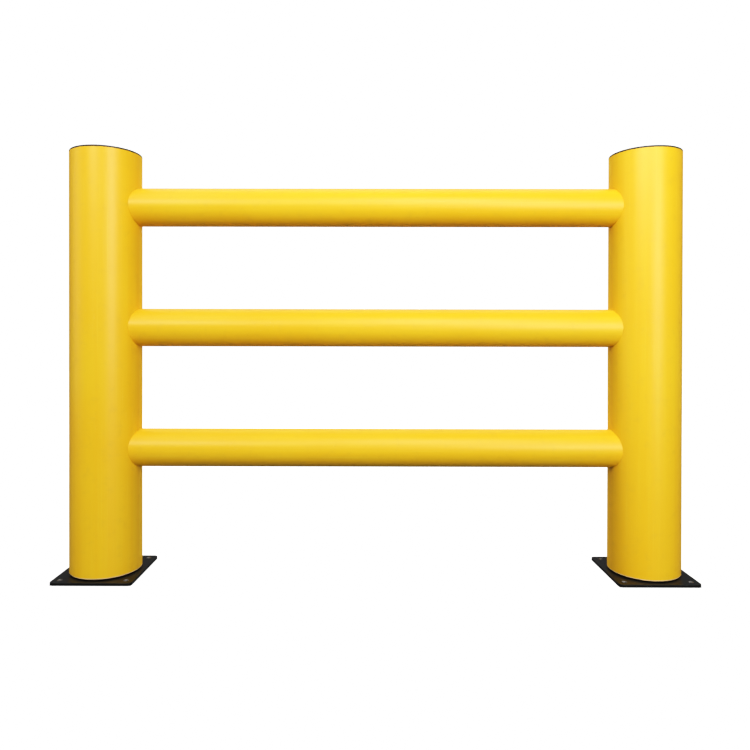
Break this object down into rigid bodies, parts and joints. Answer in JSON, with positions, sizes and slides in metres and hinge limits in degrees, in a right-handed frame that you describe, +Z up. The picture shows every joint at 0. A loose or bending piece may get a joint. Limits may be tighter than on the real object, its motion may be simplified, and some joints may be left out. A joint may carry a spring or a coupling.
{
  "type": "warehouse safety railing",
  "caption": "Free-standing bay of polymer impact barrier: stout round posts on square steel base plates, joined by round rails that plug into the posts.",
  "frame": {"origin": "on the floor, midway between the two posts", "axes": "+X along the rails, +Z up, -Y the side the barrier is seen from"},
  "size_m": [1.81, 0.23, 1.225],
  "materials": {
    "yellow_polymer": "satin extruded tube",
    "black_cap": "moulded, fine grain",
    "black_coated_steel": "gloss powder coat",
    "zinc_steel": "zinc plated"
  },
  "bodies": {
    "root": {"left_base_plate": "black_coated_steel", "right_base_plate": "black_coated_steel", "left_base_sleeve": "black_coated_steel", "right_base_sleeve": "black_coated_steel", "left_base_weld": "black_coated_steel", "right_base_weld": "black_coated_steel", "left_post": "yellow_polymer", "right_post": "yellow_polymer", "left_post_cap": "black_cap", "right_post_cap": "black_cap", "top_rail": "yellow_polymer", "middle_rail": "yellow_polymer", "bottom_rail": "yellow_polymer", "left_lock_rod": "zinc_steel", "right_lock_rod": "zinc_steel"}
  },
  "joints": []
}
